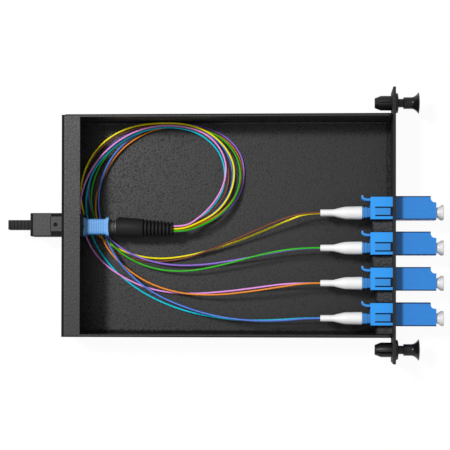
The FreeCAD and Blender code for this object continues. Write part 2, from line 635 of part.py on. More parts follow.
def mpo_guide_pins():
    """Two steel pins held by one clamp behind the ferrule."""
    back = flange_back()
    clamp = block((back, back + CLAMP_LENGTH), *mpo_span(MPO_FLANGE_SIZE))
    pins = [hidden_rod(GUIDE_PIN_RADIUS, (ferrule_tip() - GUIDE_PIN_OUT, back + CLAMP_LENGTH), MPO_Y, z)
            for z in around(MPO_Z, GUIDE_PIN_SPACING)]
    return joined([clamp] + pins)


def mpo_spring():
    """Coil spring of square wire between the pin clamp and the collar's peg."""
    start = flange_back() + CLAMP_LENGTH + SPRING_WIRE / 2
    rise = COLLAR_X - COLLAR_PEG - SPRING_WIRE / 2 - start
    count = SPRING_TURNS * SPRING_CORNERS
    spots = []
    for step in range(count + 1):
        angle = math.radians(360 / SPRING_CORNERS * step)
        spots.append(V(start + rise * step / count, MPO_Y + SPRING_RADIUS * math.cos(angle),
                       MPO_Z + SPRING_RADIUS * math.sin(angle)))
    half = SPRING_WIRE / 2
    square = ((-half, -half), (half, -half), (half, half), (-half, half))
    corners = [spots[0] + V(dx, dy, 0) for dx, dy in square]
    section = Part.makePolygon(corners + corners[:1])
    return outward(Part.Wire(Part.makePolygon(spots)).makePipeShell([section], True, True, 1))


def mpo_collar():
    """Rear body: a peg inside the housing and a tapered neck outside."""
    peg = block((COLLAR_X - COLLAR_PEG, COLLAR_X), *mpo_span(HOUSING_BORE))
    neck_end = MPO_BOOT_X - RING_LENGTH
    neck = faceted([(COLLAR_X, 0), (COLLAR_X, COLLAR_RADIUS), (neck_end, COLLAR_END_RADIUS), (neck_end, 0)],
                   MPO_Y, MPO_Z, BOOT_SIDES)
    return joined([peg, neck])


def mpo_crimp_ring():
    start = MPO_BOOT_X - RING_LENGTH
    return faceted([(start, 0), (start, RING_RADIUS), (MPO_BOOT_X, RING_RADIUS), (MPO_BOOT_X, 0)],
                   MPO_Y, MPO_Z, BOOT_SIDES)


def mpo_boot():
    """Rubber boot, plain over the collar and ribbed towards the fibres, drooping a little to -Y."""
    pitch = (MPO_BOOT_LENGTH - MPO_BOOT_PLAIN) / MPO_BOOT_RIBS
    plain_end = MPO_BOOT_X + MPO_BOOT_PLAIN
    lip, lip_radius = MPO_BOOT_LIP
    outline = [(MPO_BOOT_X - 1, 0), (MPO_BOOT_X - 1, lip_radius), (MPO_BOOT_X + lip, lip_radius),
               (MPO_BOOT_X + lip, MPO_BOOT_RADIUS), (plain_end, MPO_BOOT_PLAIN_END_RADIUS)]
    for rib in range(MPO_BOOT_RIBS):
        share = rib / (MPO_BOOT_RIBS - 1)
        radius = MPO_BOOT_RIB_RADIUS + share * (MPO_BOOT_TIP_RADIUS - MPO_BOOT_RIB_RADIUS)
        start = plain_end + rib * pitch
        outline += [(start, radius - MPO_BOOT_RIB_DEPTH), (start + pitch * 0.6, radius)]
    outline += [(MPO_BOOT_END + 1, MPO_BOOT_TIP_RADIUS), (MPO_BOOT_END + 1, 0)]
    boot = faceted(outline, MPO_Y, MPO_Z, BOOT_SIDES)
    boot.rotate(V(MPO_BOOT_X, MPO_Y, MPO_Z), Z_AXIS, -MPO_BOOT_DROOP)
    reach = 2 * MPO_BOOT_RADIUS
    return boot.common(block((MPO_BOOT_X, MPO_BOOT_END), around(MPO_Y, 2 * reach), around(MPO_Z, 2 * reach)))


def glue_beads():
    """Beads of dark glue between neighbouring adapters, and between the last one and the side wall."""
    beads = []
    edges = [y - INNER_WIDTH / 2 for y in ADAPTER_Y]
    limits = [y + INNER_WIDTH / 2 for y in ADAPTER_Y[1:]] + [-TRAY_WIDTH / 2 + SHEET]
    for high, low in zip(edges, limits):
        width = high - low
        nose = PANEL_BACK - GLUE_LENGTH
        shoulder = nose + GLUE_SHOULDER
        plan = [(PANEL_BACK, low), (PANEL_BACK, high), (shoulder, high), (nose, high - width / 3),
                (nose, low + width / 3), (shoulder, low)]
        ramp = [V(nose - 1, low - 1, GLUE_TOP - GLUE_SLOPE), V(PANEL_BACK, low - 1, GLUE_TOP + 0.01),
                V(nose - 1, low - 1, GLUE_TOP + 0.01)]
        bead = prism(plan, (SHEET + FOLD_RADIUS, GLUE_TOP))
        beads.append(bead.cut(flat_face(ramp).extrude(V(0, width + 2, 0))))
    return Part.makeCompound(beads)


# Port of each fibre
PORTS = {"brown": "1 upper", "yellow": "1 lower", "green": "2 upper", "violet": "2 lower",
         "orange": "3 upper", "rose": "3 lower", "blue": "4 upper", "aqua": "4 lower"}

# Route of each fibre: out of the multi-fibre boot, round the loop, under the multi-fibre connector and
# across towards its port. The routes stretch with the tray from the size that they are laid out for.
ROUTE_LENGTH = 157.8
ROUTE_WIDTH = 105.3
ROUTES = {
    "yellow": [
        (-27.0, -1.2, 15.4), (-17.3, 0.6, 13.9), (-5.4, 7.0, 11.0), (1.6, 18.0, 9.4),
        (2.4, 31.5, 8.9), (-6.0, 43.4, 8.9), (-18.3, 49.6, 8.9), (-32.8, 50.6, 8.9),
        (-48.8, 48.9, 8.8), (-62.4, 41.4, 8.2), (-71.0, 29.4, 6.8), (-74.0, 15.8, 4.4),
        (-71.4, 3.6, 2.3), (-62.2, -6.9, 1.8), (-49.2, -13.3, 1.9), (-34.3, -15.7, 2.4),
        (-17.3, -13.3, 3.6), (0.7, -8.0, 5.6), (15.2, -2.3, 8.2), (27.7, 2.9, 10.4)],
    "brown": [
        (-27.0, -0.4, 14.4), (-18.3, 1.2, 12.4), (-8.4, 7.4, 9.8), (-1.8, 16.0, 7.8),
        (-0.1, 27.0, 7.0), (-4.4, 38.6, 6.9), (-15.8, 47.4, 6.9), (-31.8, 49.9, 6.9),
        (-47.4, 48.1, 6.9), (-60.6, 41.6, 6.9), (-69.8, 31.0, 5.6), (-74.0, 18.0, 3.2),
        (-73.7, 5.5, 1.9), (-63.8, -7.6, 1.8), (-51.3, -14.8, 1.9), (-37.8, -17.1, 2.4),
        (-22.3, -15.4, 4.2), (-6.3, -9.9, 7.2), (10.2, -2.8, 11.4), (25.2, 3.6, 15.4)],
    "rose": [
        (-27.0, 0.1, 15.4), (-17.8, 1.6, 13.8), (-8.0, 10.4, 11.0), (-2.0, 22.0, 9.0),
        (-2.0, 34.0, 8.0), (-10.2, 45.0, 7.9), (-23.8, 49.4, 7.9), (-39.3, 49.0, 7.9),
        (-52.8, 43.5, 7.8), (-64.4, 33.6, 7.4), (-71.4, 21.4, 6.8), (-74.2, 9.0, 5.2),
        (-71.6, -3.5, 3.6), (-65.6, -14.5, 3.2), (-54.3, -23.6, 3.6), (-39.8, -30.2, 4.0),
        (-23.3, -32.5, 4.2), (-5.8, -31.6, 5.0), (11.2, -29.5, 7.0), (25.2, -27.5, 9.6)],
    "aqua": [
        (-27.0, -0.4, 13.4), (-18.8, 1.5, 11.2), (-9.2, 7.8, 8.4), (-3.4, 17.0, 6.8),
        (-2.2, 28.0, 6.1), (-6.2, 38.6, 5.9), (-16.8, 46.8, 5.9), (-31.8, 49.2, 5.9),
        (-46.3, 46.0, 6.0), (-58.8, 38.0, 6.0), (-67.8, 27.0, 5.6), (-71.2, 13.8, 4.2),
        (-69.8, 1.5, 3.4), (-65.6, -10.0, 2.9), (-55.8, -22.4, 2.3), (-42.3, -32.4, 2.5),
        (-26.8, -39.4, 3.4), (-9.8, -43.6, 4.8), (7.7, -45.2, 6.8), (23.2, -44.8, 9.2)],
    "green": [
        (-27.0, -2.3, 15.4), (-17.3, -1.2, 13.8), (-5.8, 4.2, 11.0), (2.8, 13.8, 7.6),
        (5.6, 26.5, 5.2), (1.6, 38.0, 4.9), (-8.8, 46.6, 4.9), (-23.8, 49.9, 4.9),
        (-39.8, 48.6, 4.9), (-53.8, 42.0, 4.9), (-63.4, 32.0, 4.9), (-68.2, 19.5, 4.9),
        (-68.0, 7.0, 4.6), (-61.6, -4.6, 4.6), (-51.8, -14.2, 5.2), (-37.8, -20.4, 6.2),
        (-21.8, -21.8, 8.0), (-4.8, -18.8, 10.8), (11.2, -14.4, 13.8), (25.2, -11.4, 16.4)],
    "blue": [
        (-27.0, -1.4, 13.4), (-16.8, 1.0, 11.0), (-6.2, 7.6, 8.0), (0.0, 17.0, 5.4),
        (1.4, 28.5, 4.1), (-3.4, 40.0, 3.9), (-14.3, 47.8, 3.9), (-28.8, 50.4, 3.9),
        (-43.3, 47.6, 3.9), (-55.4, 38.4, 4.1), (-62.4, 26.6, 5.2), (-64.8, 13.5, 6.1),
        (-63.2, 1.5, 6.0), (-58.8, -9.8, 6.6), (-50.8, -21.2, 7.4), (-38.8, -31.2, 8.6),
        (-23.8, -38.2, 10.4), (-7.3, -43.0, 12.8), (9.7, -45.2, 15.0), (25.2, -45.0, 16.8)],
    "orange": [
        (-27.0, -1.7, 14.4), (-16.8, 0.2, 12.6), (-5.2, 5.6, 9.6), (2.6, 14.4, 6.0),
        (6.4, 26.5, 3.2), (2.4, 38.6, 2.9), (-8.4, 46.6, 2.9), (-22.8, 49.9, 2.9),
        (-38.8, 48.0, 2.9), (-52.4, 39.8, 2.9), (-61.2, 28.4, 3.5), (-66.2, 14.5, 5.2),
        (-65.4, 2.5, 5.8), (-60.4, -10.4, 5.8), (-51.3, -19.8, 5.8), (-39.3, -27.6, 6.6),
        (-24.3, -32.2, 8.4), (-7.3, -33.0, 11.0), (9.7, -31.2, 13.8), (25.2, -28.8, 16.4)],
    "violet": [
        (-27.0, -2.4, 13.4), (-17.3, -1.0, 10.8), (-5.4, 4.6, 7.4), (3.6, 13.0, 4.4),
        (7.0, 25.5, 2.4), (4.6, 37.6, 1.9), (-5.2, 46.6, 1.9), (-19.3, 50.6, 1.9),
        (-34.3, 50.6, 1.9), (-49.8, 46.8, 1.9), (-61.8, 38.6, 1.9), (-68.6, 27.5, 2.0),
        (-70.2, 15.0, 2.6), (-66.8, 3.0, 3.5), (-58.3, -6.8, 3.8), (-46.8, -14.2, 4.2),
        (-31.8, -18.4, 4.8), (-15.3, -18.6, 5.4), (1.7, -16.2, 6.8), (25.2, -11.6, 10.0)],
}


def flat_sided_tube(spots, corners):
    """Solid tube. Its corners, given at the first spot, are carried along straight runs between spots."""
    faces = [flat_face(corners)]
    for here, there, after in zip(spots, spots[1:], spots[2:] + [None]):
        way = (there - here).normalize()
        onward = (after - there).normalize() if after else way
        mitre = way + onward
        moved = [corner + way * ((there - corner).dot(mitre) / way.dot(mitre)) for corner in corners]
        for step in range(len(corners)):
            faces.append(flat_face([corners[step - 1], corners[step], moved[step], moved[step - 1]]))
        corners = moved
    return outward(Part.makeSolid(Part.makeShell(faces + [flat_face(corners)])))


def fibre(colour):
    """Plain tube along straight runs. Two short ones lie across each corner, on the arc that rounds it."""
    number, level = PORTS[colour].split()
    along, across = TRAY_LENGTH / ROUTE_LENGTH, TRAY_WIDTH / ROUTE_WIDTH
    route = [V(x * along, y * across, z) for x, y, z in ROUTES[colour]]
    start = V(MPO_BOOT_END, route[0].y, route[0].z)
    end = V(BOOT_END, port_axis(int(number) - 1), ADAPTER_Z + LEVELS[level])
    points = [start, start + V(FIBRE_LEAD, 0, 0)] + route[1:] + [end - V(BOOT_NOSE + 1, 0, 0), end]
    runs = [(b - a).Length for a, b in zip(points, points[1:])]
    setbacks = [ARC_SHARE * min(pair) for pair in zip(runs, runs[1:])]
    edges, radii = rounded_path(points, setbacks)
    spots = [start]
    for edge in edges[1::2]:
        spots += [edge.Vertexes[0].Point, edge.valueAt((edge.FirstParameter + edge.LastParameter) / 2),
                  edge.Vertexes[-1].Point]
    path = Part.makePolygon(spots + [end])
    corners = []
    for step in range(FIBRE_SIDES):
        angle = math.radians(360 / FIBRE_SIDES * (step + 0.5))
        corners.append(start + V(0, math.cos(angle), math.sin(angle)) * (FIBRE_DIAMETER / 2))
    tube = flat_sided_tube(spots + [end], corners)
    share = tube.Volume / (flat_face(corners).Area * path.Length)
    print(f"fibre_{colour}: length {path.Length:.1f}, tightest radius {min(radii):.1f}, share {share:.4f}")
    return tube


def build():
    parts = {"tray": tray(), "alignment_sleeves": alignment_sleeves(), "lc_ferrules": lc_ferrules(),
             "mpo_adapter": mpo_adapter(), "mpo_dust_cap": mpo_dust_cap(), "mpo_coupling": mpo_coupling(),
             "mpo_housing": mpo_housing(), "mpo_ferrule": mpo_ferrule(), "mpo_guide_pins": mpo_guide_pins(),
             "mpo_spring": mpo_spring(), "mpo_collar": mpo_collar(), "mpo_crimp_ring": mpo_crimp_ring(),
             "mpo_boot": mpo_boot(), "glue_beads": glue_beads()}
    for level in ("upper", "lower"):
        parts[f"rivet_grommet_{level}"] = rivet_grommet(level)
        parts[f"rivet_plunger_{level}"] = rivet_plunger(level)
    for number, y in enumerate(ADAPTER_Y):
        parts[f"adapter_{number + 1}_rear"] = adapter_rear(y)
        parts[f"adapter_{number + 1}_front"] = adapter_front(y)
        for level in LEVELS:
            parts[f"dust_plug_{number + 1}_{level}"] = dust_plug(number, level)
            parts[f"lc_connector_{number + 1}_{level}"] = lc_connector(number, level)
            parts[f"lc_boot_{number + 1}_{level}"] = lc_boot(number, level)
    for colour in ROUTES:
        parts[f"fibre_{colour}"] = fibre(colour)
    return parts


os.makedirs("parts", exist_ok=True)
for name, shape in build().items():
    shape.exportStep(f"parts/{name}.step")
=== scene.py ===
import math
import bpy
import numpy as np
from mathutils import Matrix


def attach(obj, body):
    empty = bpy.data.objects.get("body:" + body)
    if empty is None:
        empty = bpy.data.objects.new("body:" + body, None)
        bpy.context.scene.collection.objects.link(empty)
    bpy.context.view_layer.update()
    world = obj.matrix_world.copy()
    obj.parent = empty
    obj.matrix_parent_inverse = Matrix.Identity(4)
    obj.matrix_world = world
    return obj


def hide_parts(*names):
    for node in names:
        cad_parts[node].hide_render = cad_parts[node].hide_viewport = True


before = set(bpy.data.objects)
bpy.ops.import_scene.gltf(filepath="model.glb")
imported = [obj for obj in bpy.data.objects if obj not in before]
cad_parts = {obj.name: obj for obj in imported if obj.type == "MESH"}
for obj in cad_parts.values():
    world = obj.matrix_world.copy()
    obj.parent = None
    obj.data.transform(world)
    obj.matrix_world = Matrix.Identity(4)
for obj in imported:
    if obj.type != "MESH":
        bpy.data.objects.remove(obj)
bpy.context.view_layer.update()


# Camera. It looks down from well above the open tray, a little forward of its middle, and its lens is
# shifted slightly so that the whole cassette stands in the frame with the panel to the right.
EYE_PLACE = (0.0468, -0.0281, 0.745)
EYE_TURN = (0.743, 2.979, 0.079)  # degrees
eye = bpy.data.cameras.new("camera")
eye.lens = 122.35
eye.sensor_width = 36.0
eye.shift_x = -0.05
eye.shift_y = 0.09
camera = bpy.data.objects.new("camera", eye)
camera.location = EYE_PLACE
camera.rotation_euler = [math.radians(turn) for turn in EYE_TURN]
bpy.context.scene.collection.objects.link(camera)
bpy.context.scene.camera = camera


# Fibres. Eight thin jacketed fibres leave the multi-fibre boot in a bundle, run once round the slack loop
# and fan out to the ports. Each is extruded plastic, smooth and slightly glossy, and keeps its own colour
# from end to end.
class Link:
    """A shader value. Arithmetic on it adds Math nodes, so that shader maths reads as formulas."""

    def __init__(self, nodes, socket):
        self.nodes = nodes
        self.socket = socket

    def math(self, operation, *others, clamp=False):
        values = dict(enumerate((self, *others)))
        return self.nodes.node("Math", {"operation": operation, "use_clamp": clamp}, values)

    def __add__(self, other):
        return self.math("ADD", other)

    def __sub__(self, other):
        return self.math("SUBTRACT", other)

    def __mul__(self, other):
        return self.math("MULTIPLY", other)

    def __gt__(self, other):
        return self.math("GREATER_THAN", other)

    def __lt__(self, other):
        return self.math("LESS_THAN", other)

    def __neg__(self):
        return self * -1

    def __rsub__(self, other):
        return -self + other

    def clamped(self):
        """The value kept between 0 and 1."""
        return self.math("ADD", 0.0, clamp=True)

    def within(self, low, high):
        """1 from low to high, and 0 elsewhere."""
        return (self > low) * (self < high)

    __radd__ = __add__
    __rmul__ = __mul__


class Nodes:
    """A node tree, to which nodes are added one by one."""

    def __init__(self, tree):
        self.tree = tree

    def node(self, kind, settings=None, sockets=None, output=0):
        """A new node with its settings and its sockets' values or links, as a Link to one output."""
        made = self.tree.nodes.new("ShaderNode" + kind)
        for key, value in (settings or {}).items():
            setattr(made, key, value)
        for key, value in (sockets or {}).items():
            if isinstance(value, Link):
                self.tree.links.new(value.socket, made.inputs[key])
            else:
                made.inputs[key].default_value = value
        return Link(self, made.outputs[output])


class Finish(Nodes):
    """A material with one Principled shader."""

    def __init__(self, name, colour, roughness, **constants):
        self.material = bpy.data.materials.new(name)
        self.material.use_nodes = True
        super().__init__(self.material.node_tree)
        self.surface = self.tree.nodes["Principled BSDF"]
        self.colour = colour
        self.surface.inputs["Base Color"].default_value = colour
        self.surface.inputs["Roughness"].default_value = roughness
        for socket, value in constants.items():
            self.surface.inputs[socket.replace("_", " ")].default_value = value

    def noise(self, scale, detail=3.0, stretch=(1.0, 1.0, 1.0)):
        """Smooth noise round 0.5, with scale in waves per metre."""
        where = self.node("TexCoord", output="Object")
        where = self.node("Mapping", {}, {"Vector": where, "Scale": stretch})
        return self.node("TexNoise", {}, {"Vector": where, "Scale": scale, "Detail": detail})

    def mix(self, share, low, high):
        """Colour from low to high as share goes from 0 to 1. A Mix node's inputs 6 and 7 and its output 2
        are the ones for colours."""
        return self.node("Mix", {"data_type": "RGBA"}, {0: share, 6: low, 7: high}, output=2)

    def spot(self):
        """The place on the piece as X, Y and Z in millimetres."""
        where = self.node("TexCoord", output="Object")
        where = self.node("VectorMath", {"operation": "SCALE"}, {"Vector": where, "Scale": 1000.0})
        return [self.node("SeparateXYZ", {}, {"Vector": where}, output=axis) for axis in "XYZ"]

    def feed(self, socket, value):
        """Links a value to one of the shader's own sockets."""
        self.tree.links.new(value.socket, self.surface.inputs[socket])

    def mottle(self, share, amount, shaded=None, deep=(0.002, 0.002, 0.002, 1.0)):
        """Makes the colour darker and lighter by amount as share goes from 0 to 1, and deep where shaded."""
        low = (*(part * (1 - amount) for part in self.colour[:3]), 1.0)
        high = (*(part * (1 + amount) for part in self.colour[:3]), 1.0)
        tint = self.mix(share, low, high)
        self.feed("Base Color", self.mix(shaded, tint, deep) if shaded else tint)

    def bump(self, height, depth):
        """Lets height, times depth in metres, stand out of the surface."""
        self.feed("Normal", self.node("Bump", {}, {"Height": height, "Distance": depth, "Strength": 1.0}))


def shade(red, green, blue):
    """A colour given as it shows on a screen, from 0 to 255, as the light that makes it."""
    parts = np.array([red, green, blue]) / 255
    light = np.where(parts > 0.04045, ((parts + 0.055) / 1.055) ** 2.4, parts / 12.92)
    return (*light.tolist(), 1.0)


JACKET = 0.9
MULTI_BOOT_END = -27.05
BOOT_END = 43.6
FIRST_PORT = 6.45
ADAPTER_PITCH = 16.75
PORT_Y = [FIRST_PORT - ADAPTER_PITCH * number for number in range(4)]
AXIS_Z = 14.5
PORT_SPACING = 6.25
LEVEL_Z = {"upper": AXIS_Z + PORT_SPACING / 2, "lower": AXIS_Z - PORT_SPACING / 2}
STRAIGHT_OUT = 4.0
STRAIGHT_IN = 7.0
# Each fibre's colour, the place of its port in the row, its level and its length in metres.
JACKETS = {
    "yellow": (shade(255, 240, 0), 0, "lower", 0.2890),
    "brown": (shade(120, 66, 44), 0, "upper", 0.2857),
    "green": (shade(48, 182, 24), 1, "upper", 0.2848),
    "violet": (shade(150, 114, 222), 1, "lower", 0.2895),
    "orange": (shade(236, 142, 36), 2, "upper", 0.2866),
    "rose": (shade(240, 156, 236), 2, "lower", 0.2855),
    "blue": (shade(84, 126, 222), 3, "upper", 0.2814),
    "aqua": (shade(0, 206, 228), 3, "lower", 0.2838),
}
# Each fibre's route between its straight ends. The first point gives its Y and Z at the boot's mouth.
ROUTES = {
    "yellow": [
        (-27.0, -1.2, 15.4), (-17.3, 0.6, 13.9), (-5.4, 7.0, 11.0), (1.6, 18.0, 9.4),
        (2.4, 31.5, 8.9), (-6.0, 43.4, 8.9), (-18.3, 49.6, 8.9), (-32.8, 50.6, 8.9),
        (-48.8, 48.9, 8.8), (-62.4, 41.4, 8.2), (-71.0, 29.4, 6.8), (-74.0, 15.8, 4.4),
        (-71.4, 3.6, 2.3), (-62.2, -6.9, 1.8), (-49.2, -13.3, 1.9), (-34.3, -15.7, 2.4),
        (-17.3, -13.3, 3.6), (0.7, -8.0, 5.6), (15.2, -2.3, 8.2), (27.7, 2.9, 10.4)],
    "brown": [
        (-27.0, -0.4, 14.4), (-18.3, 1.2, 12.4), (-8.4, 7.4, 9.8), (-1.8, 16.0, 7.8),
        (-0.1, 27.0, 7.0), (-4.4, 38.6, 6.9), (-15.8, 47.4, 6.9), (-31.8, 49.9, 6.9),
        (-47.4, 48.1, 6.9), (-60.6, 41.6, 6.9), (-69.8, 31.0, 5.6), (-74.0, 18.0, 3.2),
        (-73.7, 5.5, 1.9), (-63.8, -7.6, 1.8), (-51.3, -14.8, 1.9), (-37.8, -17.1, 2.4),
        (-22.3, -15.4, 4.2), (-6.3, -9.9, 7.2), (10.2, -2.8, 11.4), (25.2, 3.6, 15.4)],
    "rose": [
        (-27.0, 0.1, 15.4), (-17.8, 1.6, 13.8), (-8.0, 10.4, 11.0), (-2.0, 22.0, 9.0),
        (-2.0, 34.0, 8.0), (-10.2, 45.0, 7.9), (-23.8, 49.4, 7.9), (-39.3, 49.0, 7.9),
        (-52.8, 43.5, 7.8), (-64.4, 33.6, 7.4), (-71.4, 21.4, 6.8), (-74.2, 9.0, 5.2),
        (-71.6, -3.5, 3.6), (-65.6, -14.5, 3.2), (-54.3, -23.6, 3.6), (-39.8, -30.2, 4.0),
        (-23.3, -32.5, 4.2), (-5.8, -31.6, 5.0), (11.2, -29.5, 7.0), (25.2, -27.5, 9.6)],
    "aqua": [
        (-27.0, -0.4, 13.4), (-18.8, 1.5, 11.2), (-9.2, 7.8, 8.4), (-3.4, 17.0, 6.8),
        (-2.2, 28.0, 6.1), (-6.2, 38.6, 5.9), (-16.8, 46.8, 5.9), (-31.8, 49.2, 5.9),
        (-46.3, 46.0, 6.0), (-58.8, 38.0, 6.0), (-67.8, 27.0, 5.6), (-71.2, 13.8, 4.2),
        (-69.8, 1.5, 3.4), (-65.6, -10.0, 2.9), (-55.8, -22.4, 2.3), (-42.3, -32.4, 2.5),
        (-26.8, -39.4, 3.4), (-9.8, -43.6, 4.8), (7.7, -45.2, 6.8), (23.2, -44.8, 9.2)],
    "green": [
        (-27.0, -2.3, 15.4), (-17.3, -1.2, 13.8), (-5.8, 4.2, 11.0), (2.8, 13.8, 7.6),
        (5.6, 26.5, 5.2), (1.6, 38.0, 4.9), (-8.8, 46.6, 4.9), (-23.8, 49.9, 4.9),
        (-39.8, 48.6, 4.9), (-53.8, 42.0, 4.9), (-63.4, 32.0, 4.9), (-68.2, 19.5, 4.9),
        (-68.0, 7.0, 4.6), (-61.6, -4.6, 4.6), (-51.8, -14.2, 5.2), (-37.8, -20.4, 6.2),
        (-21.8, -21.8, 8.0), (-4.8, -18.8, 10.8), (11.2, -14.4, 13.8), (25.2, -11.4, 16.4)],
    "blue": [
        (-27.0, -1.4, 13.4), (-16.8, 1.0, 11.0), (-6.2, 7.6, 8.0), (0.0, 17.0, 5.4),
        (1.4, 28.5, 4.1), (-3.4, 40.0, 3.9), (-14.3, 47.8, 3.9), (-28.8, 50.4, 3.9),
        (-43.3, 47.6, 3.9), (-55.4, 38.4, 4.1), (-62.4, 26.6, 5.2), (-64.8, 13.5, 6.1),
        (-63.2, 1.5, 6.0), (-58.8, -9.8, 6.6), (-50.8, -21.2, 7.4), (-38.8, -31.2, 8.6),
        (-23.8, -38.2, 10.4), (-7.3, -43.0, 12.8), (9.7, -45.2, 15.0), (25.2, -45.0, 16.8)],
    "orange": [
        (-27.0, -1.7, 14.4), (-16.8, 0.2, 12.6), (-5.2, 5.6, 9.6), (2.6, 14.4, 6.0),
        (6.4, 26.5, 3.2), (2.4, 38.6, 2.9), (-8.4, 46.6, 2.9), (-22.8, 49.9, 2.9),
        (-38.8, 48.0, 2.9), (-52.4, 39.8, 2.9), (-61.2, 28.4, 3.5), (-66.2, 14.5, 5.2),
        (-65.4, 2.5, 5.8), (-60.4, -10.4, 5.8), (-51.3, -19.8, 5.8), (-39.3, -27.6, 6.6),
        (-24.3, -32.2, 8.4), (-7.3, -33.0, 11.0), (9.7, -31.2, 13.8), (25.2, -28.8, 16.4)],
    "violet": [
        (-27.0, -2.4, 13.4), (-17.3, -1.0, 10.8), (-5.4, 4.6, 7.4), (3.6, 13.0, 4.4),
        (7.0, 25.5, 2.4), (4.6, 37.6, 1.9), (-5.2, 46.6, 1.9), (-19.3, 50.6, 1.9),
        (-34.3, 50.6, 1.9), (-49.8, 46.8, 1.9), (-61.8, 38.6, 1.9), (-68.6, 27.5, 2.0),
        (-70.2, 15.0, 2.6), (-66.8, 3.0, 3.5), (-58.3, -6.8, 3.8), (-46.8, -14.2, 4.2),
        (-31.8, -18.4, 4.8), (-15.3, -18.6, 5.4), (1.7, -16.2, 6.8), (25.2, -11.6, 10.0)],
}
for name, (colour, port, level, length) in JACKETS.items():
    route = np.array(ROUTES[name])
    start = np.array([MULTI_BOOT_END, route[0, 1], route[0, 2]])
    end = np.array([BOOT_END, PORT_Y[port], LEVEL_Z[level]])
    points = np.vstack([start, start + (STRAIGHT_OUT, 0, 0), route[1:], end - (STRAIGHT_IN, 0, 0), end])
    points /= 1000
    line = bpy.data.curves.new(f"fibre_{name}_line", "CURVE")
    line.dimensions = "3D"
    spline = line.splines.new("NURBS")
    spline.points.add(len(points) - 1)
    spline.points.foreach_set("co", np.column_stack([points, np.ones(len(points))]).ravel())
    spline.order_u = 3
    spline.use_endpoint_u = True
    line.resolution_u = 8
    line.bevel_depth = JACKET / 2000
    line.bevel_resolution = 4
    line.use_fill_caps = True
    cord = bpy.data.objects.new(f"jacketed_fibre_{name}", line)
    bpy.context.scene.collection.objects.link(cord)
    jacket = Finish(f"jacket {name}", colour, 0.34, Specular_IOR_Level=0.2)
    jacket.mottle(jacket.noise(900), 0.05)
    line.materials.append(jacket.material)
    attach(cord, "cassette")
    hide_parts(f"fibre_{name}")


# Tray. One folded steel sheet, with the panel in front, a flange over the rear wall and open corners.
# It is powder coated in a fine matt black that is grainy when seen close, over a bead of filler in each
# front corner.
def dress(material, *nodes):
    """Gives CAD nodes a material."""
    for node in nodes:
        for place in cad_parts[node].material_slots:
            place.material = material


TOP = 24.0
FLOOR = 3.0
UNDER_FLANGE = 20.0
FLANGE_EDGE = -77.2
LOWER_WALL = -49.4
WALL_EDGE = 52.1
WALL_END = 77.0
PANEL_ROUND = 75.4
coat = Finish("powder coat", (0.0125, 0.0125, 0.013, 1), 0.4, Specular_IOR_Level=0.28)
grain = coat.noise(1300, detail=4.0)
x, y, z = coat.spot()
# The flange rounds down over the rear wall, the floor rises into the lower wall, and the side walls show
# a narrow cut edge: all three are painted darker, as shade, and are duller.
over_wall = ((FLANGE_EDGE - x) * 2.0).clamped() * (z > TOP)
into_wall = ((LOWER_WALL - y) * 0.7).clamped() * (z < FLOOR)
shaded_bend = over_wall + into_wall
rim = (y.math("ABSOLUTE") > WALL_EDGE) * (z > TOP) * (x < WALL_END)
coat.mottle(grain * 0.8 + coat.noise(420, detail=2.0) * 0.2, 0.75, (shaded_bend + rim * 0.9).clamped())
coat.bump(grain, 0.00007)
uneven = 0.5 - grain
by_place = shaded_bend * 0.6 + rim * 0.6 + (x > PANEL_ROUND) * 0.35
coat.feed("Roughness", by_place + (z < UNDER_FLANGE) * (uneven + 0.03) + uneven * 0.3 + 0.4)
dress(coat.material, "tray")


def section(half_y, half_z, corner, spots):
    """Rounded rectangle in Y and Z. Each spot is a corner's centre plus a turning radius."""
    angle = (np.arange(spots) + 0.5) * 2 * math.pi / spots
    turn = np.stack([np.cos(angle), np.sin(angle)], axis=1)
    centre = np.stack([half_y - corner, half_z - corner], axis=-1)
    return np.sign(turn) * centre[:, None, :] + turn * np.asarray(corner)[:, None, None]


EDGE_TURN = math.radians(35)


def skin(name, rings, material, body, looped=False):
    """Closed surface through rings, an array of rows by spots by XYZ in millimetres. Each spot is joined to
    the next one in its row and in the next row. The first and the last row are capped, or joined to each
    other if looped. The faces are turned round if the volume that they enclose comes out negative."""
    rows, spots = rings.shape[:2]
    index = np.arange(rows * spots).reshape(rows, spots)
    if looped:
        index = np.vstack([index, index[:1]])
    near, far = index[:-1], index[1:]
    quads = np.stack([near, np.roll(near, -1, axis=1), np.roll(far, -1, axis=1), far], axis=-1).reshape(-1, 4)
    points = rings.reshape(-1, 3)
    a, b, c, d = (points[quads[:, corner]] for corner in range(4))
    volume = (a * (np.cross(b, c) + np.cross(c, d))).sum()
    caps = [] if looped else [index[0][::-1].tolist(), index[-1].tolist()]
    for cap in caps:
        fan = points[cap]
        volume += (np.cross(fan[1:-1], fan[2:]) @ fan[0]).sum()
    faces = quads.tolist() + caps
    if volume < 0:
        faces = [face[::-1] for face in faces]
    mesh = bpy.data.meshes.new(name)
    mesh.from_pydata(points / 1000, [], faces)
    mesh.shade_smooth()
    mesh.set_sharp_from_angle(angle=EDGE_TURN)
    mesh.materials.append(material)
    piece = bpy.data.objects.new(name, mesh)
    bpy.context.scene.collection.objects.link(piece)
    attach(piece, body)
    return piece


def ribbon(path, z, width, spots=16):
    """Rings of a strip whose middle line runs along path in X and Y, with its width along Z. The third
    column of path is its thickness."""
    middle = path[:, :2]
    way = np.gradient(middle, axis=0)
    way /= np.linalg.norm(way, axis=1)[:, None]
    across = np.stack([-way[:, 1], way[:, 0]], axis=1)
    half = path[:, 2] / 2
    flat = section(half, np.full(len(path), width / 2), half * 0.5, spots)
    spread = middle[:, None, :] + across[:, None, :] * flat[..., :1]
    return np.dstack([spread, z + flat[..., 1]])


